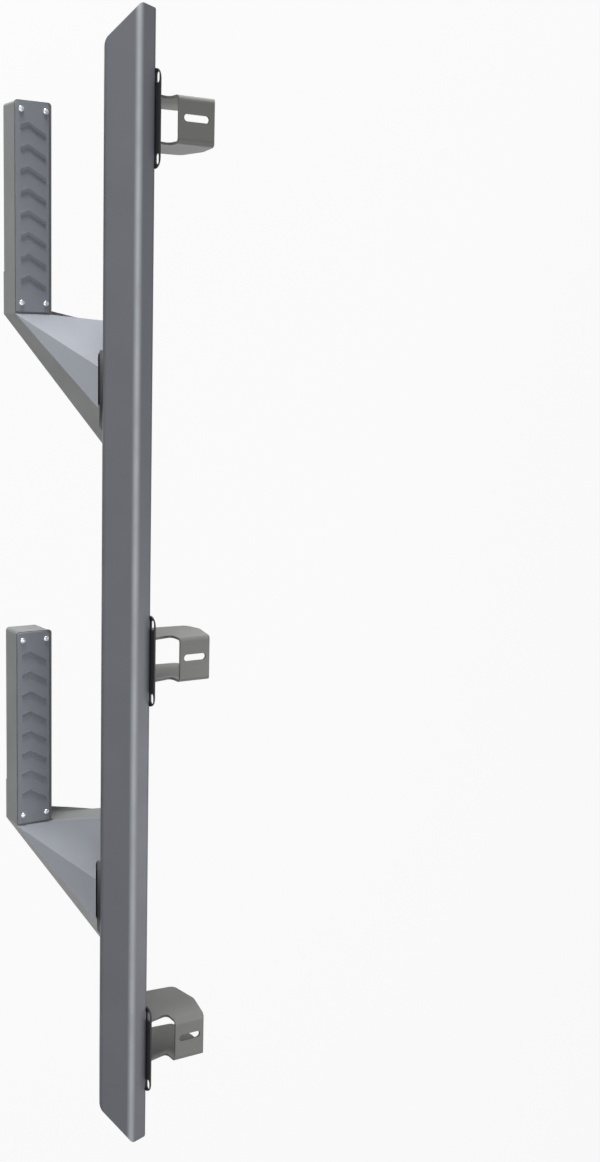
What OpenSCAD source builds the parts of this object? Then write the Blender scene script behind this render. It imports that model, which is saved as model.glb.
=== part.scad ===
// Drop down side step for the left-hand side of a vehicle.
// X runs forward, Y runs outboard and Z runs up. The origin is at the middle bracket,
// between its two wall slots, on the face that lies against the vehicle.

/* [Rail] */
// Length of the rail from tip to tip
rail_len = 2286; // [2200:10:2500]
// Distance from the middle bracket to the front tip
rail_front = 1260; // [1220:1:1320]
// Width of the flat top face
rail_top_w = 31; // [26:1:45]
// Outward run of the sloped outer face
rail_face_run = 50; // [40:1:60]
// Drop of the sloped outer face
rail_face_drop = 56; // [45:1:65]
// Inward run of the lower outer face
rail_low_run = 30; // [20:1:40]
// Height of the rail
rail_h = 120; // [110:1:130]
// Sheet thickness of the rail
rail_wall = 2; // [1.5:0.5:4]
// Outside radius of the rail's corners along its outer side
rail_corner_r = 12; // [8:1:14]
// Outside radius of the rail's corners along the wall side
rail_in_r = 4; // [3:0.5:8]
// Setback of the slanted end across the top face
end_set_top = 8; // [0:1:20]
// Setback of the slanted end down the sloped outer face
end_set_face = 66; // [30:1:80]
// Thickness of the end caps
cap_t = 5; // [3:0.5:8]

/* [Steps] */
// Length of a step's deck
deck_len = 411; // [370:1:440]
// Width of a step's deck
deck_w = 78; // [70:1:84]
// Distance of the deck's inboard edge from the wall face
deck_in = 121.5; // [112:0.5:135]
// Overhang of the deck beyond both sides of the band
deck_over = 3.5; // [1:0.5:5]
// Distance of the front step's rear edge behind the rail's front tip
front_step_back = 578; // [540:1:620]
// Distance of the rear step's rear edge ahead of the rail's rear tip
rear_step_ahead = 654; // [620:1:690]
// Drop from the rail's top face to the tread
tread_drop = 213; // [190:1:225]
// Height of a step from its foot to the tread
step_h = 67; // [55:1:75]
// Sheet thickness of the step's side band
band_t = 3; // [2:0.5:4]
// Thickness of the deck
deck_t = 4; // [3:0.5:6]
// Radius of the deck's front corners
deck_r = 7; // [4:1:12]
// Radius of the band's bend from the step into the arm
bend_r = 15; // [8:1:24]

/* [Arms] */
// Angle in plan between the arm's outer wall and the step
arm_angle = 32; // [28:0.5:36]
// Distance of the arm's inboard end from the wall face
arm_in = -20; // [-30:1:-5]
// Skew of the arm's front wall
front_skew = 4; // [0:0.5:8]
// Reach of the arm's floor past the front wall, at the step
floor_lip = 15; // [8:1:20]
// Skew of the floor's front edge
floor_skew = 11; // [8:0.5:13]
// Slope of the front facet of the gusset, as rise per length
facet_rise = 1.217; // [1.1:0.01:1.35]
// Slope of the rear facet along the step, as rise per length
facet_back = 0.37; // [0.3:0.01:0.45]
// Slope of the rear facet across the step, as rise per length
facet_in = 0.69; // [0.65:0.005:0.8]
// Slope of the arm's floor, as rise per length
floor_rise = 0.5; // [0.4:0.01:0.52]
// Thickness of the gusset plate
gusset_t = 3; // [2:0.5:4]
// Gap between the gusset plate and the saddle
gusset_gap = 3; // [1:0.5:5]
// Thickness of the arm's floor
floor_t = 3; // [2:0.5:4]
// Length of the floor's tongue under the step
tongue_len = 84; // [80:1:120]
// Thickness of the saddle plate between arm and rail
saddle_t = 6; // [3:0.5:8]
// Distance of the saddle's upper edge from the rail's outer corner
saddle_edge = 60; // [50:1:62]
// Margin of the saddle round the foot of the arm
saddle_margin = 4; // [0:0.5:8]

/* [Treads] */
// Thickness of the tread plate
tread_t = 3; // [2:0.5:5]
// Margin of the deck in front of and outboard of the tread
tread_edge = 2; // [1:0.5:4]
// Margin of the deck inboard of the tread
tread_in_edge = 7; // [4:0.5:9]
// Margin of the deck behind the tread
tread_rear_edge = 4.5; // [2:0.5:8]
// Distance of the front screws from the front of the deck
screw_front = 18; // [14:0.5:30]
// Distance of the rear screws from the rear of the deck
screw_rear = 21.5; // [14:0.5:30]
// Distance of the screws from both sides of the deck
screw_side = 13.3; // [12.8:0.1:16]
// Shank radius of the screws
screw_r = 3; // [2.5:0.1:3]
// Head radius of the screws
head_r = 5.5; // [5:0.1:6]
// Head height of the screws
head_h = 3.3; // [2.5:0.1:4]
// Distance across the flats of the nuts
nut_flats = 10; // [9:0.5:10]
// Height of the nuts
nut_h = 5; // [4:0.5:6]
// Number of chevrons on a tread
chevron_count = 8; // [6:1:8]
// Width of a chevron rib
chevron_w = 7; // [4:0.5:9]
// Height of a chevron rib
chevron_h = 1.6; // [0.8:0.1:2]
// Distance of the first chevron's tip from the front of the deck
chevron_front = 41; // [34:1:46]
// Distance of the last chevron's tip from the rear of the deck
chevron_rear = 76; // [70:1:90]
// Distance of the chevrons' tips from the outboard side of the deck
chevron_side = 27.5; // [24:0.5:30]
// Reach of a chevron's outboard leg
leg_out = 16; // [10:1:18]
// Sweep of a chevron's outboard leg
sweep_out = 6; // [3:1:12]
// Reach of a chevron's inboard leg
leg_in = 37; // [28:1:38]
// Sweep of a chevron's inboard leg
sweep_in = 21; // [10:1:24]

/* [Brackets] */
// Distance of the front bracket behind the rail's front tip
front_bracket_back = 208; // [180:1:240]
// Distance of the rear bracket ahead of the rail's rear tip
rear_bracket_ahead = 201; // [180:1:240]
// Length of a bracket's base plate
base_len = 185; // [170:1:210]
// Thickness of a bracket's base plate
base_t = 3; // [2:0.5:6]
// Height of the wall slots above the rail's top face
slot_rise = 7; // [7:0.5:14]
// Height of the base plate above the wall slots
base_rise = 9.5; // [9:0.5:18]
// Depth of the base plate below the wall slots
base_drop = 125; // [110:1:150]
// Radius of the base plate's corners
base_r = 20; // [12:1:22]
// Distance of the wall slots from the ends of the base plate
slot_end = 17.5; // [15:0.5:30]
// Width of the wall slots
slot_w = 13; // [9:0.5:13]
// Length of the wall slots
slot_len = 21; // [18:1:24]
// Width of a bracket's channel
channel_w = 92; // [80:1:104]
// Sheet thickness of the channel
channel_t = 5; // [4:0.5:6]
// Outside bend radius of the channel
channel_r = 10; // [8:1:14]
// Shift of the front channel along its base plate
front_shift = 4.5; // [-8:0.5:8]
// Shift of the middle channel along its base plate
middle_shift = -4; // [-8:0.5:8]
// Shift of the rear channel along its base plate
rear_shift = 1; // [-8:0.5:8]
// Reach of the top plate of the middle and rear brackets from the wall face
channel_reach = 133; // [122:1:150]
// Length of the top plate of the middle and rear brackets
top_len = 68; // [60:1:75]
// Reach of the front bracket's top plate from the wall face
front_reach = 126; // [118:1:135]
// Length of the top plate of the front bracket
front_top_len = 79; // [70:1:84]
// Width of the slots in the top plates
top_slot_w = 14; // [11:0.5:16]
// Length of the top slots of the middle and rear brackets
top_slot_len = 50; // [40:1:54]
// Length of the front bracket's top slot
front_slot_len = 56; // [44:1:62]
// Shift of the top slots from the middle of their channels
top_slot_shift = 4; // [0:0.5:8]
// Depth of the channel's cheeks
cheek_h = 165; // [150:1:175]
// Depth of the middle bracket's front cheek
short_cheek_h = 130; // [115:1:150]
// Drop of the cheeks' upper edge at the wall below the top plate
arm_drop = 23; // [18:1:30]
// Drop of the cheeks' upper edge at the top plate's end
notch_h = 40; // [30:1:50]
// Bulge of the cheeks inboard of the top plate
cheek_out = 20; // [10:1:26]
// Depth of that bulge below the top plate
cheek_mid = 80; // [60:1:100]
// Length of the cheeks' foot
cheek_foot = 60; // [50:1:70]

/* [Hidden] */
$fn = 48;
powder_grey = [0.39, 0.40, 0.41];
tread_grey = [0.43, 0.45, 0.50];
base_black = [0.14, 0.15, 0.16];
bright_zinc = [0.85, 0.85, 0.86];
// Steps on each rounded corner of a drawn outline
arc_steps = 6;
// Reach of the cutting bodies
big = 700;
// Gap round the screws
screw_gap = 0.3;

rail_rear = rail_front - rail_len;
rail_top_z = -slot_rise;
rail_in_y = base_t;
ridge_y = rail_in_y + rail_top_w;
edge_y = ridge_y + rail_face_run;
edge_z = rail_top_z - rail_face_drop;
low_y = edge_y - rail_low_run;
rail_low_z = rail_top_z - rail_h;
tread_z = rail_top_z - tread_drop;
deck_z = tread_z - tread_t;
foot_z = tread_z - step_h;
deck_out = deck_in + deck_w;
band_in = deck_in + deck_over;
band_out = deck_out - deck_over;
chevron_pitch = (deck_len - chevron_front - chevron_rear) / (chevron_count - 1);
// Rounding of small plate corners
small_r = 2;
// Distance of the cheeks' lower inboard corner from the top plate's edge and above the foot
cheek_toe = [11, 7];
// Height of the cheeks' foot above the base plate's lower edge, at the wall
foot_gap = 6;
// Roundings of the cheek's outline
notch_r = 8;
bulge_r = 40;
toe_r = 14;
foot_r = 20;
// Length of the screws under their heads
shank_len = tread_t + deck_t + nut_h + 1;

function unit(v) = v / norm(v);

// Points of a rounded corner at p between its neighbours a and b
function corner_arc(a, p, b, r) =
  let (u = unit(a - p), w = unit(b - p), half = acos(u * w) / 2,
    c = p + unit(u + w) * r / sin(half), s = p + u * r / tan(half) - c,
    e = p + w * r / tan(half) - c, start = atan2(s[1], s[0]),
    turn = (atan2(e[1], e[0]) - start + 540) % 360 - 180)
  [for (i = [0:arc_steps]) c + r * [cos(start + turn * i / arc_steps), sin(start + turn * i / arc_steps)]];

// Outline with each corner rounded by its own radius
function rounded(pts, radii) =
  [for (i = [0:len(pts) - 1]) each radii[i] > 0
    ? corner_arc(pts[(i + len(pts) - 1) % len(pts)], pts[i], pts[(i + 1) % len(pts)], radii[i])
    : [pts[i]]];

// Outline moved inward by d, for points that run counterclockwise
function inset(pts, d) =
  [for (i = [0:len(pts) - 1])
    let (a = unit(pts[i] - pts[(i + len(pts) - 1) % len(pts)]), b = unit(pts[(i + 1) % len(pts)] - pts[i]),
      m = [-a[1], a[0]], n = [-b[1], b[0]])
    pts[i] + (m + n) * d / (1 + m * n)];

// Draws its outline in the plane of Y and Z and runs it along X
module along_x(x_from, x_to) {
  translate([x_from, 0, 0]) rotate([90, 0, 90]) linear_extrude(x_to - x_from) children();
}

rail_pts = [[rail_in_y, rail_top_z], [rail_in_y, rail_low_z], [low_y, rail_low_z],
  [edge_y, edge_z], [ridge_y, rail_top_z]];
rail_radii = [rail_in_r, rail_in_r, rail_corner_r, rail_corner_r, rail_corner_r];
bore_radii = [for (r = rail_radii) r - rail_wall];
// Slopes of the plane that cuts the rail's ends
end_slope_y = end_set_top / rail_top_w;
end_slope_z = (end_set_face + end_slope_y * rail_face_run) / rail_face_drop;

// Everything past the slanted end of the rail, moved inward by depth
module past_end(depth) {
  translate([rail_front, ridge_y, rail_top_z])
    rotate([0, atan2(end_slope_z, norm([1, end_slope_y])), atan2(-end_slope_y, 1)])
      translate([-depth, -big / 2, -big / 2]) cube([big, big, big]);
}

// Mirrors the front end onto the rear one
module to_rear() { translate([rail_front + rail_rear, 0, 0]) mirror([1, 0, 0]) children(); }

// Everything past both ends
module past_ends(depth) {
  past_end(depth);
  to_rear() past_end(depth);
}

module rail_tube() {
  color(powder_grey)
    difference() {
      along_x(rail_rear, rail_front) polygon(rounded(rail_pts, rail_radii));
      along_x(rail_rear - 1, rail_front + 1)
        polygon(rounded(inset(rail_pts, rail_wall), bore_radii));
      past_ends(cap_t);
    }
}

// Plate that closes the front end of the rail
module end_cap() {
  color(powder_grey)
    difference() {
      intersection() {
        along_x(rail_front - rail_len / 2, rail_front) polygon(rounded(rail_pts, rail_radii));
        past_end(cap_t);
      }
      past_end(0);
    }
}

// Plan of the band round a step and its arm, from the rear edge of the deck
skew_x = -(band_in - arm_in) * tan(front_skew);
arm_end_x = -(band_out - arm_in) / tan(arm_angle);
plan_pts = [[skew_x, arm_in], [0, band_in], [deck_len, band_in], [deck_len, band_out],
  [0, band_out], [arm_end_x, arm_in]];
plan_radii = [0, bend_r, deck_r, deck_r, 0, 0];
band_in_radii = [0, bend_r + band_t, deck_r - band_t, deck_r - band_t, 0, 0];

// Everything above the two facets of the gusset, moved down square to them
module above_facets(depth) {
  facet_angle = atan(facet_rise);
  translate([0, 0, tread_z]) intersection() {
    union() {
      rotate([0, facet_angle, 0]) translate([-big, -big / 2, -depth]) cube([2 * big, 1.5 * big, big]);
      translate([0, deck_out, 0])
        rotate([0, atan(norm([facet_back, facet_in])), atan2(facet_in, facet_back)])
          translate([-big, -big, -depth]) cube([2 * big, 2 * big, big]);
    }
    translate([-big, -big / 2, -big]) cube([big, 1.5 * big, 2 * big]);
  }
}

// Everything below the arm's floor plane, moved up square to it
module below_floor(depth) {
  translate([0, 0, foot_z]) intersection() {
    rotate([0, atan(floor_rise), 0]) translate([-big, -big / 2, depth - big])
      cube([2 * big, 1.5 * big, big]);
    translate([-big, -big / 2, -big]) cube([big, 1.5 * big, 2 * big]);
  }
}

// Directions along and square to the rail's lower outer face
low_dir = unit([low_y - edge_y, rail_low_z - edge_z]);
low_out = [-low_dir[1], low_dir[0]];
saddle_top = [edge_y, edge_z] + low_dir * saddle_edge;
saddle_in_r = rail_corner_r - 1;
saddle_out_r = saddle_in_r + saddle_t;

// Corner below the rail where the saddle's two faces meet at a distance d from the rail
function knee(d) = [low_y, rail_low_z] + (low_out + [0, -1]) * d / (1 - low_out[1]);

// The rail's side of the saddle's outer face, moved outward by gap
module rail_room(gap) {
  corner = knee(saddle_t + gap);
  along_x(-big, big / 2)
    polygon(rounded([[-big, corner[1]], corner, corner - low_dir * big, [-big, big]],
      [0, saddle_out_r + gap, 0, 0]));
}

// Wall that runs round the step and the arm
module step_band() {
  color(powder_grey)
    difference() {
      translate([0, 0, foot_z]) linear_extrude(edge_z - foot_z) difference() {
        polygon(rounded(plan_pts, plan_radii));
        polygon(rounded(inset(plan_pts, band_t), band_in_radii));
      }
      translate([0, 0, deck_z - deck_t]) cube([big, big, big]);
      above_facets(gusset_t);
      below_floor(0);
      rail_room(0);
    }
}

module screw_places() {
  for (x = [screw_rear, deck_len - screw_front], y = [deck_in + screw_side, deck_out - screw_side])
    translate([x, y, 0]) children();
}

module step_deck() {
  color(powder_grey)
    difference() {
      translate([0, 0, deck_z - deck_t]) linear_extrude(deck_t)
        polygon(rounded([[0, deck_in], [deck_len, deck_in], [deck_len, deck_out], [0, deck_out]],
          [0, deck_r, deck_r, 0]));
      screw_places() translate([0, 0, deck_z - big / 2]) cylinder(r = screw_r + screw_gap, h = big);
    }
}

// Creased plate over the arm
module gusset_plate() {
  color(powder_grey)
    difference() {
      intersection() {
        translate([0, 0, foot_z]) linear_extrude(edge_z - foot_z)
          polygon([plan_pts[0], [0, deck_in], [0, deck_out],
            [-(deck_out - arm_in) / tan(arm_angle), arm_in]]);
        above_facets(gusset_t);
      }
      above_facets(0);
      rail_room(gusset_gap);
    }
}

// Plan of the plate under the arm and the rear of the step
module floor_plan() {
  polygon(rounded([[floor_lip - (band_in - arm_in) * tan(floor_skew), arm_in], [floor_lip, band_in],
    [tongue_len, band_in], [tongue_len, band_out], plan_pts[4], plan_pts[5]], [0, bend_r, 0, 0, 0, 0]));
}

// Plate under the arm, with its tongue under the step
module arm_floor() {
  color(powder_grey)
    difference() {
      union() {
        intersection() {
          translate([0, 0, foot_z - floor_t]) linear_extrude(rail_low_z - foot_z) floor_plan();
          below_floor(0);
        }
        translate([0, 0, foot_z - floor_t]) linear_extrude(floor_t) intersection() {
          floor_plan();
          translate([0, arm_in]) square([tongue_len, deck_out - arm_in]);
        }
      }
      below_floor(-floor_t);
      rail_room(0);
    }
}

// Bent plate between the arm and the rail
module arm_saddle() {
  foot_x = (tread_z - rail_low_z + saddle_t) / facet_rise;
  foot_y = arm_in + (foot_x - arm_end_x) * tan(arm_angle);
  color(powder_grey)
    intersection() {
      along_x(-big, big / 2)
        polygon(rounded(
          [saddle_top, knee(0), [arm_in, rail_low_z], [arm_in, rail_low_z - saddle_t], knee(saddle_t),
            saddle_top + low_out * saddle_t],
          [0, saddle_in_r, 0, 0, saddle_out_r, 0]));
      translate([0, 0, foot_z]) linear_extrude(edge_z - foot_z)
        polygon(inset([[foot_x, arm_in], [foot_x, foot_y], plan_pts[5]], -saddle_margin));
    }
}

// One rib of the tread, with its tip at the origin
module chevron() {
  front = [[-sweep_in, -leg_in], [0, 0], [-sweep_out, leg_out]];
  linear_extrude(chevron_h)
    polygon([front[0], front[1], front[2], front[2] - [chevron_w, 0], [-chevron_w, 0], front[0] - [chevron_w, 0]]);
}

module tread() {
  color(tread_grey)
    difference() {
      union() {
        translate([0, 0, deck_z]) linear_extrude(tread_t)
          polygon(rounded(
            [[tread_rear_edge, deck_in + tread_in_edge], [deck_len - tread_edge, deck_in + tread_in_edge],
              [deck_len - tread_edge, deck_out - tread_edge], [tread_rear_edge, deck_out - tread_edge]],
            [small_r, deck_r, deck_r, small_r]));
        for (i = [0:chevron_count - 1])
          translate([deck_len - chevron_front - i * chevron_pitch, deck_out - chevron_side, tread_z]) chevron();
      }
      screw_places() translate([0, 0, deck_z - 1]) cylinder(r = screw_r + screw_gap, h = big);
    }
}

// Button heads with a hexagon socket
module tread_screws() {
  color(bright_zinc)
    screw_places() translate([0, 0, tread_z]) {
      difference() {
        rotate_extrude() polygon([[0, 0], [head_r, 0], [head_r, head_h * 0.25],
          each [for (a = [10:20:90]) [head_r * cos(a), head_h * (0.25 + 0.75 * sin(a))]]]);
        translate([0, 0, head_h * 0.35]) cylinder(r = head_r * 0.42, h = head_h, $fn = 6);
      }
      translate([0, 0, -shank_len]) cylinder(r = screw_r, h = shank_len);
    }
}

module tread_nuts() {
  color(bright_zinc)
    screw_places() translate([0, 0, deck_z - deck_t - nut_h])
      difference() {
        rotate(30) cylinder(d = nut_flats / cos(30), h = nut_h, $fn = 6);
        translate([0, 0, -1]) cylinder(r = screw_r + screw_gap, h = nut_h + 2);
      }
}

// Straight slot through a plate, drawn along X about the origin
module slot_hole(length, width) {
  for (s = [-1, 1]) translate([s * (length - width) / 2, 0, 0]) cylinder(d = width, h = big, center = true);
  cube([length - width, width, big], center = true);
}

// Plate on the rail's inboard side that lies against the vehicle
module bracket_base() {
  color(base_black)
    difference() {
      rotate([90, 0, 0]) translate([0, 0, -base_t]) linear_extrude(base_t)
        polygon(rounded(
          [[-base_len / 2, -base_drop], [base_len / 2, -base_drop], [base_len / 2, base_rise],
            [-base_len / 2, base_rise]], [base_r, base_r, base_r, base_r]));
      for (x = [-1, 1]) translate([x * (base_len / 2 - slot_end), 0, 0]) rotate([90, 0, 0])
        slot_hole(slot_len, slot_w);
    }
}

// Side view of the channel: cheeks that drop from the top plate and meet the base plate
module cheek(reach, length, depth) {
  top = rail_top_z;
  low = top - depth;
  y_in = -reach;
  y_out = y_in + length;
  polygon(rounded(
    [[0, top - arm_drop], [y_out, top - notch_h], [y_out, top], [y_in, top], [y_in - cheek_out, top - cheek_mid],
      [y_in - cheek_toe[0], low + cheek_toe[1]], [y_in + cheek_foot, low], [0, -base_drop + foot_gap]],
    [0, notch_r, 0, small_r, bulge_r, toe_r, foot_r, 0]));
}

// Section of the folded sheet across the channel
module channel_section() {
  low = rail_top_z - cheek_h;
  outer = [[-channel_w / 2, low], [channel_w / 2, low], [channel_w / 2, rail_top_z], [-channel_w / 2, rail_top_z]];
  difference() {
    polygon(rounded(outer, [0, 0, channel_r, channel_r]));
    translate([0, -channel_t]) polygon(rounded([for (p = outer) [sign(p[0]) * (channel_w / 2 - channel_t), p[1]]],
      [0, 0, channel_r - channel_t, channel_r - channel_t]));
  }
}

module bracket_channel(shift, reach, length, hole_len, front_depth) {
  color(powder_grey) translate([shift, 0, 0])
    difference() {
      intersection() {
        rotate([90, 0, 0]) linear_extrude(big / 2) channel_section();
        union() {
          along_x(-channel_w, 0) cheek(reach, length, cheek_h);
          along_x(0, channel_w) cheek(reach, length, front_depth);
        }
      }
      translate([top_slot_shift, -reach + length / 2, 0]) rotate(90) slot_hole(hole_len, top_slot_w);
    }
}

module at_front_step() { translate([rail_front - front_step_back, 0, 0]) children(); }
module at_rear_step() { translate([rail_rear + rear_step_ahead, 0, 0]) children(); }
module at_front_bracket() { translate([rail_front - front_bracket_back, 0, 0]) children(); }
module at_rear_bracket() { translate([rail_rear + rear_bracket_ahead, 0, 0]) children(); }

rail_tube();
end_cap();  // front_end_cap
to_rear() end_cap();  // rear_end_cap
at_front_step() step_band();  // front_step_band
at_front_step() step_deck();  // front_step_deck
at_front_step() gusset_plate();  // front_gusset_plate
at_front_step() arm_floor();  // front_arm_floor
at_front_step() arm_saddle();  // front_arm_saddle
at_front_step() tread();  // front_tread
at_front_step() tread_screws();  // front_tread_screws
at_front_step() tread_nuts();  // front_tread_nuts
at_rear_step() step_band();  // rear_step_band
at_rear_step() step_deck();  // rear_step_deck
at_rear_step() gusset_plate();  // rear_gusset_plate
at_rear_step() arm_floor();  // rear_arm_floor
at_rear_step() arm_saddle();  // rear_arm_saddle
at_rear_step() tread();  // rear_tread
at_rear_step() tread_screws();  // rear_tread_screws
at_rear_step() tread_nuts();  // rear_tread_nuts
at_front_bracket() bracket_base();  // front_bracket_base
at_front_bracket() bracket_channel(front_shift, front_reach, front_top_len, front_slot_len, cheek_h);  // front_bracket_channel
bracket_base();  // middle_bracket_base
bracket_channel(middle_shift, channel_reach, top_len, top_slot_len, short_cheek_h);  // middle_bracket_channel
at_rear_bracket() bracket_base();  // rear_bracket_base
at_rear_bracket() bracket_channel(rear_shift, channel_reach, top_len, top_slot_len, cheek_h);  // rear_bracket_channel
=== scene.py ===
import math

import bpy
from mathutils import Matrix, Vector

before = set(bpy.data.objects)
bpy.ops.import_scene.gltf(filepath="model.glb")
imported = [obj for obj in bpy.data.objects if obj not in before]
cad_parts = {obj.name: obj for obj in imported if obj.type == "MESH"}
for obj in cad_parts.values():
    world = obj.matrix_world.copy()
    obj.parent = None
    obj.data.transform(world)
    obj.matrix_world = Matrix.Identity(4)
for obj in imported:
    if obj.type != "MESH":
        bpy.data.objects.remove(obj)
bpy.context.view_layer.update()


def linear(c):
    """sRGB value 0 to 255 as a linear one."""
    c = c / 255
    return c / 12.92 if c <= 0.04045 else ((c + 0.055) / 1.055) ** 2.4


def rgba(r, g, b):
    return (linear(r), linear(g), linear(b), 1)


def coat(name, base, worn, rough=0.5, metallic=0.0, grain=900, bump=0.12, spots=0.35, painted_light_marks=()):
    """A painted or plated surface: mottled colour, fine orange peel and uneven gloss.

    Each mark is painted light or painted shade laid into the colour: a point, the axes along which distance from
    it counts, its reach, its colour and how strong it is.
    """
    m = bpy.data.materials.new(name)
    m.use_nodes = True
    nt = m.node_tree
    b = nt.nodes["Principled BSDF"]
    geo = nt.nodes.new("ShaderNodeTexCoord")
    big = nt.nodes.new("ShaderNodeTexNoise")
    big.inputs["Scale"].default_value = 9
    big.inputs["Detail"].default_value = 5
    fine = nt.nodes.new("ShaderNodeTexNoise")
    fine.inputs["Scale"].default_value = grain
    fine.inputs["Detail"].default_value = 3
    ramp = nt.nodes.new("ShaderNodeMapRange")
    ramp.inputs["From Min"].default_value = 0.35
    ramp.inputs["From Max"].default_value = 0.7
    ramp.inputs["To Min"].default_value = 0
    ramp.inputs["To Max"].default_value = spots
    mix = nt.nodes.new("ShaderNodeMix")
    mix.data_type = "RGBA"
    mix.inputs["A"].default_value = base
    mix.inputs["B"].default_value = worn
    speck = nt.nodes.new("ShaderNodeMix")
    speck.data_type = "RGBA"
    speck.blend_type = "MULTIPLY"
    speck.inputs["Factor"].default_value = 0.25
    gloss = nt.nodes.new("ShaderNodeMapRange")
    gloss.inputs["To Min"].default_value = rough - 0.07
    gloss.inputs["To Max"].default_value = rough + 0.09
    hump = nt.nodes.new("ShaderNodeBump")
    hump.inputs["Strength"].default_value = bump
    hump.inputs["Distance"].default_value = 0.0005
    link = nt.links.new
    link(geo.outputs["Object"], big.inputs["Vector"])
    link(geo.outputs["Object"], fine.inputs["Vector"])
    link(big.outputs["Fac"], ramp.inputs["Value"])
    link(ramp.outputs["Result"], mix.inputs["Factor"])
    link(mix.outputs["Result"], speck.inputs["A"])
    link(fine.outputs["Color"], speck.inputs["B"])
    colour = speck.outputs["Result"]
    # Each mark paints light or shade into the colour near its point, over the coat's own colour.
    for point, axes, reach, tint, strength in painted_light_marks:
        away = nt.nodes.new("ShaderNodeVectorMath")
        away.operation = "SUBTRACT"
        away.inputs[1].default_value = point
        across = nt.nodes.new("ShaderNodeVectorMath")
        across.operation = "MULTIPLY"
        across.inputs[1].default_value = axes
        distance = nt.nodes.new("ShaderNodeVectorMath")
        distance.operation = "LENGTH"
        near = nt.nodes.new("ShaderNodeMapRange")
        near.interpolation_type = "SMOOTHSTEP"
        near.inputs["From Min"].default_value = reach
        near.inputs["From Max"].default_value = 0
        near.inputs["To Max"].default_value = strength
        uneven = nt.nodes.new("ShaderNodeMapRange")
        uneven.inputs["From Min"].default_value = 0.3
        uneven.inputs["From Max"].default_value = 0.6
        uneven.inputs["To Min"].default_value = 0.75
        patchy = nt.nodes.new("ShaderNodeMath")
        patchy.operation = "MULTIPLY"
        painted_light_mix = nt.nodes.new("ShaderNodeMix")
        painted_light_mix.data_type = "RGBA"
        painted_light_mix.inputs["B"].default_value = tint
        link(geo.outputs["Object"], away.inputs[0])
        link(away.outputs["Vector"], across.inputs[0])
        link(across.outputs["Vector"], distance.inputs[0])
        link(distance.outputs["Value"], near.inputs["Value"])
        link(big.outputs["Fac"], uneven.inputs["Value"])
        link(near.outputs["Result"], patchy.inputs[0])
        link(uneven.outputs["Result"], patchy.inputs[1])
        link(patchy.outputs["Value"], painted_light_mix.inputs["Factor"])
        link(colour, painted_light_mix.inputs["A"])
        colour = painted_light_mix.outputs["Result"]
    link(colour, b.inputs["Base Color"])
    link(big.outputs["Fac"], gloss.inputs["Value"])
    link(gloss.outputs["Result"], b.inputs["Roughness"])
    link(fine.outputs["Fac"], hump.inputs["Height"])
    link(hump.outputs["Normal"], b.inputs["Normal"])
    b.inputs["Metallic"].default_value = metallic
    return m


powder = coat("powder_grey", rgba(138, 140, 140), rgba(126, 128, 130), rough=0.42)
# The rail's three marks are painted light: a painted highlight along the rounded ridge between the top face and
# the sloped outer face, painted shade along the outboard lower edge of that face, and painted shade along the
# inboard top corner.
rail_coat = coat("rail_grey", rgba(132, 135, 143), rgba(120, 123, 132), rough=0.42,
                 painted_light_marks=[((0, 0.0368, -0.0103), (0, 1, 1), 0.0105, rgba(212, 216, 223), 0.95),
                        ((0, 0.0815, -0.0675), (0, 1, 1), 0.0125, rgba(66, 69, 75), 0.9),
                        ((0, 0.0035, -0.0080), (0, 1, 1), 0.0065, rgba(84, 87, 93), 0.8)])
# Gusset plates: the same powder grey finish, made lighter and bluer here as painted light for the brighter light
# on their forward-facing facets.
gusset_coat_painted_light = coat("gusset_grey", rgba(156, 160, 168), rgba(146, 150, 159), rough=0.42)
channel_coat = coat("channel_grey", rgba(138, 138, 136), rgba(124, 124, 122), rough=0.45)
# The tread's mark is painted shade: it darkens the tops of the raised chevron ribs at z = -0.2184, standing in for
# the shading along the ribs.
tread_coat = coat("tread_grey", rgba(168, 173, 183), rgba(156, 161, 172), rough=0.6, bump=0.3, grain=700,
                  painted_light_marks=[((0, 0, -0.2184), (0, 0, 1), 0.0013, rgba(104, 109, 118), 0.65)])
black = coat("base_black", rgba(24, 25, 28), rgba(38, 40, 44), rough=0.55)
zinc = coat("bright_zinc", rgba(232, 232, 235), rgba(206, 208, 212), rough=0.28, metallic=1.0, bump=0.05)

COATS = {"_bracket_base": black, "_bracket_channel": channel_coat, "_tread": tread_coat, "_screws": zinc,
         "_nuts": zinc, "_gusset_plate": gusset_coat_painted_light, "rail_tube": rail_coat, "_end_cap": rail_coat}
for name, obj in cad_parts.items():
    obj.data.materials.clear()
    obj.data.materials.append(next((m for end, m in COATS.items() if name.endswith(end)), powder))



def seen_rays(nt):
    """1 for rays from the camera, in reflections and through glass, and 0 for the rays that carry light."""
    path = nt.nodes.new("ShaderNodeLightPath")
    seen = path.outputs["Is Camera Ray"]
    for kind in ("Is Transmission Ray", "Is Glossy Ray"):
        larger = nt.nodes.new("ShaderNodeMath")
        larger.operation = "MAXIMUM"
        nt.links.new(seen, larger.inputs[0])
        nt.links.new(path.outputs[kind], larger.inputs[1])
        seen = larger.outputs[0]
    return seen


def set_world(light_level):
    """White surroundings where they are seen, and a plain grey level for the light itself."""
    world = bpy.data.worlds.new("surroundings")
    bpy.context.scene.world = world
    world.use_nodes = True
    nt = world.node_tree
    bg = nt.nodes["Background"]
    bg.inputs["Color"].default_value = (1, 1, 1, 1)
    level = nt.nodes.new("ShaderNodeMapRange")
    level.inputs["To Min"].default_value = light_level
    level.inputs["To Max"].default_value = 1.0
    nt.links.new(seen_rays(nt), level.inputs["Value"])
    nt.links.new(level.outputs["Result"], bg.inputs["Strength"])


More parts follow.
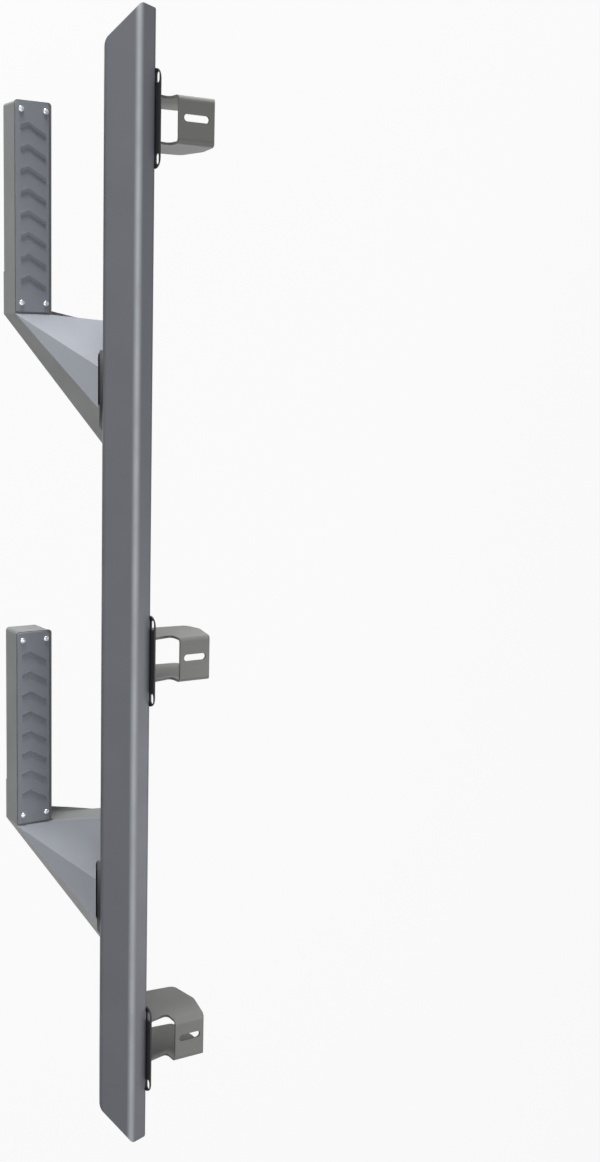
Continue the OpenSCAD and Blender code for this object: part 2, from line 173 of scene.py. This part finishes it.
def add_floor(height, half_size, glow):
    """Pale floor: its own light is white where it is seen, and the rest of its brightness keeps the shadow."""
    mesh = bpy.data.meshes.new("floor")
    corners = [(-half_size, -half_size), (half_size, -half_size), (half_size, half_size), (-half_size, half_size)]
    mesh.from_pydata([(x, y, height) for x, y in corners], [], [(0, 1, 2, 3)])
    floor = bpy.data.objects.new("floor", mesh)
    bpy.context.scene.collection.objects.link(floor)
    m = bpy.data.materials.new("pale_floor")
    m.use_nodes = True
    nt = m.node_tree
    nt.nodes.remove(nt.nodes["Principled BSDF"])
    matt = nt.nodes.new("ShaderNodeBsdfDiffuse")
    matt.inputs["Color"].default_value = rgba(235, 235, 235)
    white = nt.nodes.new("ShaderNodeEmission")
    share = nt.nodes.new("ShaderNodeMath")
    share.operation = "MULTIPLY"
    share.inputs[1].default_value = glow
    mix = nt.nodes.new("ShaderNodeMixShader")
    nt.links.new(seen_rays(nt), share.inputs[0])
    nt.links.new(share.outputs["Value"], mix.inputs["Fac"])
    nt.links.new(matt.outputs["BSDF"], mix.inputs[1])
    nt.links.new(white.outputs["Emission"], mix.inputs[2])
    nt.links.new(mix.outputs["Shader"], nt.nodes["Material Output"].inputs["Surface"])
    mesh.materials.append(m)


def lamp(name, place, aim, size, power):
    data = bpy.data.lights.new(name, "AREA")
    data.shape = "DISK"
    data.size = size
    data.energy = power
    obj = bpy.data.objects.new(name, data)
    bpy.context.scene.collection.objects.link(obj)
    obj.location = place
    obj.rotation_euler = (Vector(aim) - Vector(place)).to_track_quat("-Z", "Y").to_euler()
    return obj


set_world(light_level=0.15)
add_floor(height=-0.9, half_size=20, glow=0.92)
lamp("front_key", (5.4, 0.75, 0.2), (0, 0, -0.1), 2.0, 365)
lamp("side_fill", (1.3, 3.6, -0.2), (0.3, 0, -0.1), 1.2, 1.5)
lamp("rear_top", (-0.8, -1.0, 1.5), (-0.5, 0, -0.1), 1.2, 12)
lamp("overhead", (-0.6, 2.6, 3.4), (0, 0, -0.1), 2.5, 27)

# Camera from the photo's perspective
cam = bpy.data.cameras.new("camera")
cam.sensor_width = 36
cam.sensor_fit = "AUTO"
cam.lens = 46.70
cam.clip_end = 50
view = bpy.data.objects.new("camera", cam)
bpy.context.scene.collection.objects.link(view)
right = Vector((0.02463, -0.83918, 0.5433)).normalized()
back = Vector((0.15137, 0.54033, 0.82773)).normalized()
up = back.cross(right).normalized()
turn = Matrix((right, up, back)).transposed().to_4x4()
view.matrix_world = Matrix.Translation((0.62432, 1.37303, 2.63254)) @ turn
bpy.context.scene.camera = view
bpy.context.scene.view_settings.view_transform = "Standard"
